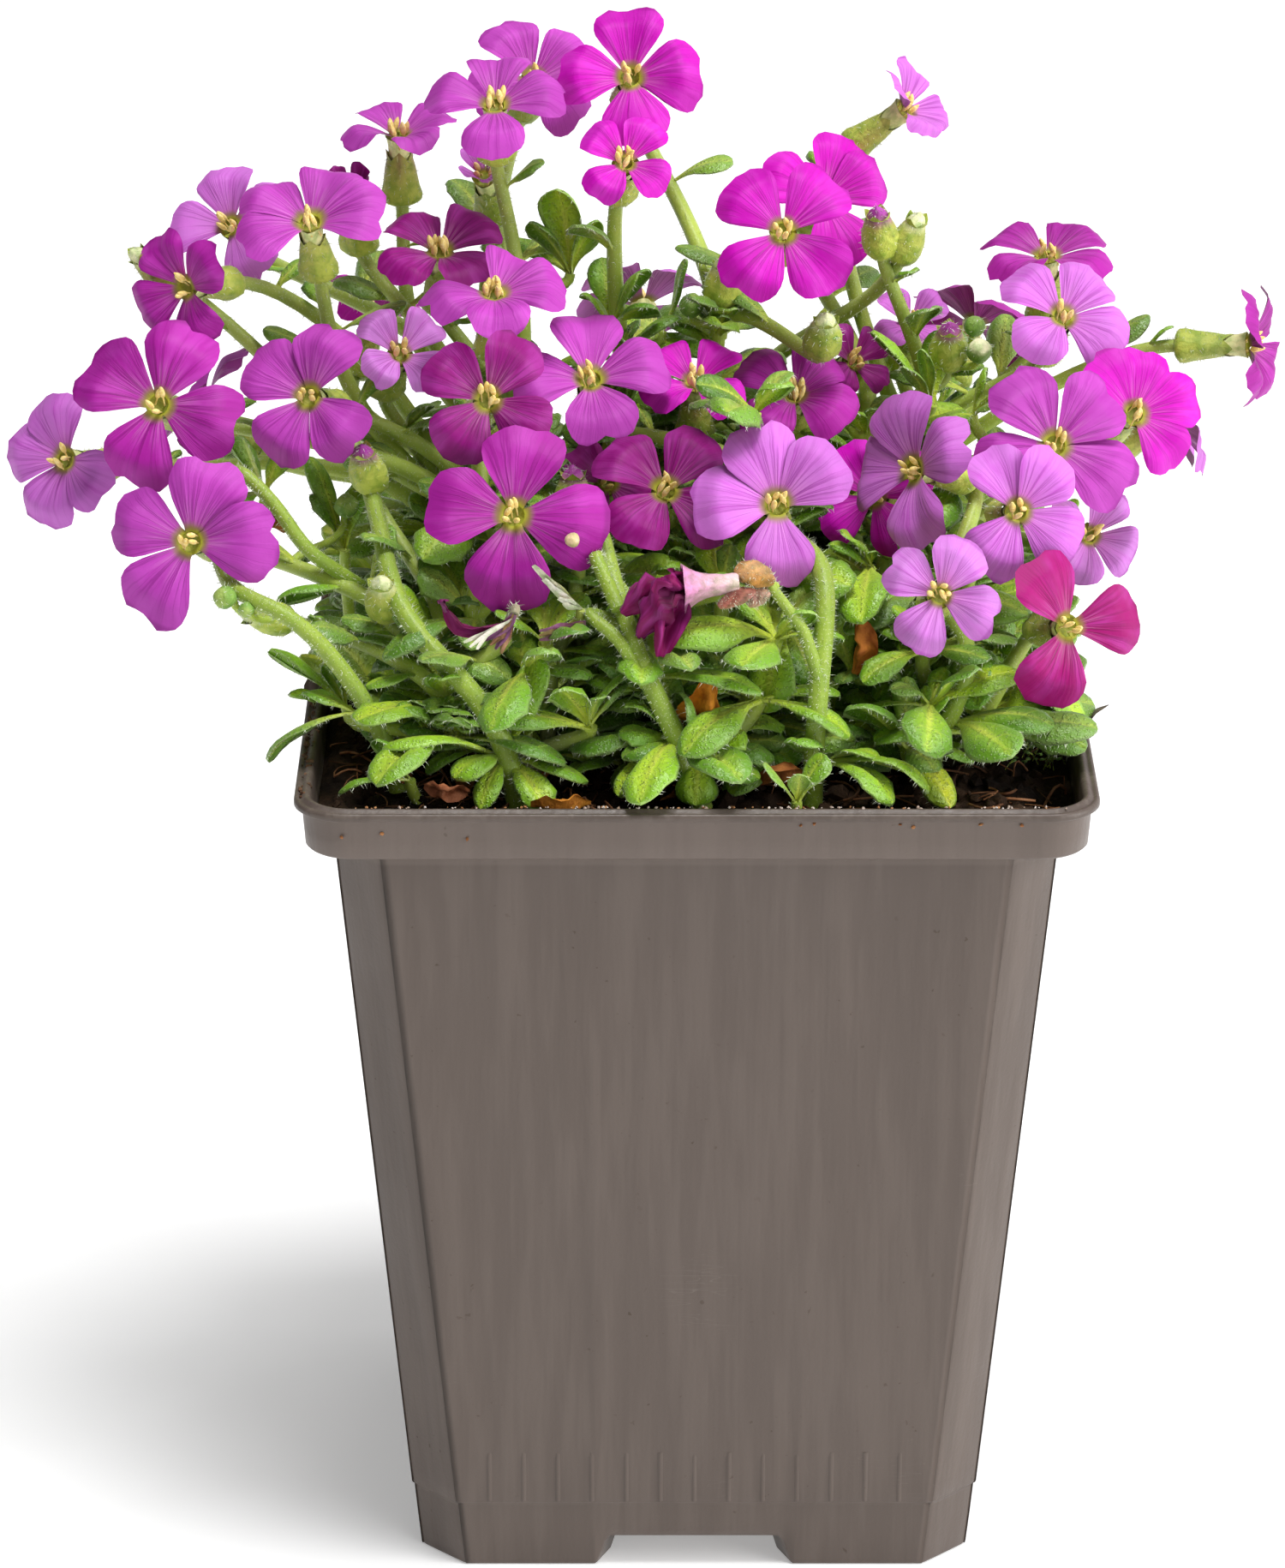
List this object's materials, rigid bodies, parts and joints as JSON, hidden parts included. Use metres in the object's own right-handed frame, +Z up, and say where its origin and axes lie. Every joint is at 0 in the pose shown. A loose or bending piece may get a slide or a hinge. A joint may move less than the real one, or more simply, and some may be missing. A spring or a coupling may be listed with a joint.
{
  "type": "potted aubrieta",
  "caption": "Cushion-forming rock plant in full purple bloom, growing out over the rim of a small square tapered nursery pot of dark soil.",
  "frame": {"origin": "centre of the whole object's bounding box, on the surface that the pot stands on; the pot's own axis is a few millimetres to the right of it, because the plant reaches further to the left", "axes": "+Z up the pot's axis, front of the pot and of the plant towards -Y, +X to the right as seen from the front"},
  "size_m": [0.1486, 0.099, 0.1742],
  "materials": {
    "pot": "satin, scuffed and dusty",
    "soil": "rough moist peat",
    "leafy_stem": "soft, finely hairy leaves",
    "bloom": "silky petals"
  },
  "bodies": {
    "root": {"pot": "pot", "soil": "soil", "leafy_stem_01": "leafy_stem", "leafy_stem_02": "leafy_stem", "leafy_stem_03": "leafy_stem", "leafy_stem_04": "leafy_stem", "leafy_stem_05": "leafy_stem", "leafy_stem_06": "leafy_stem", "bloom_01": "bloom", "bloom_02": "bloom", "bloom_03": "bloom", "bloom_04": "bloom", "bloom_05": "bloom", "bloom_06": "bloom", "bloom_07": "bloom", "bloom_08": "bloom", "bloom_09": "bloom", "bloom_10": "bloom", "bloom_11": "bloom", "bloom_12": "bloom", "bloom_13": "bloom", "bloom_14": "bloom", "bloom_15": "bloom", "bloom_16": "bloom", "bloom_17": "bloom", "bloom_18": "bloom", "bloom_19": "bloom", "bloom_20": "bloom", "bloom_21": "bloom", "bloom_22": "bloom", "bloom_23": "bloom", "bloom_24": "bloom", "bloom_25": "bloom", "bloom_26": "bloom", "bloom_27": "bloom", "bloom_28": "bloom", "bloom_29": "bloom", "bloom_30": "bloom", "bloom_31": "bloom", "bloom_32": "bloom", "bloom_33": "bloom", "bloom_34": "bloom", "bloom_35": "bloom", "bloom_36": "bloom", "bloom_37": "bloom", "bloom_38": "bloom", "bloom_39": "bloom", "bloom_40": "bloom", "bloom_41": "bloom", "bloom_42": "bloom", "bloom_43": "bloom", "bloom_44": "bloom", "bloom_45": "bloom", "bloom_46": "bloom", "bloom_47": "bloom", "bloom_48": "bloom"}
  },
  "joints": []
}
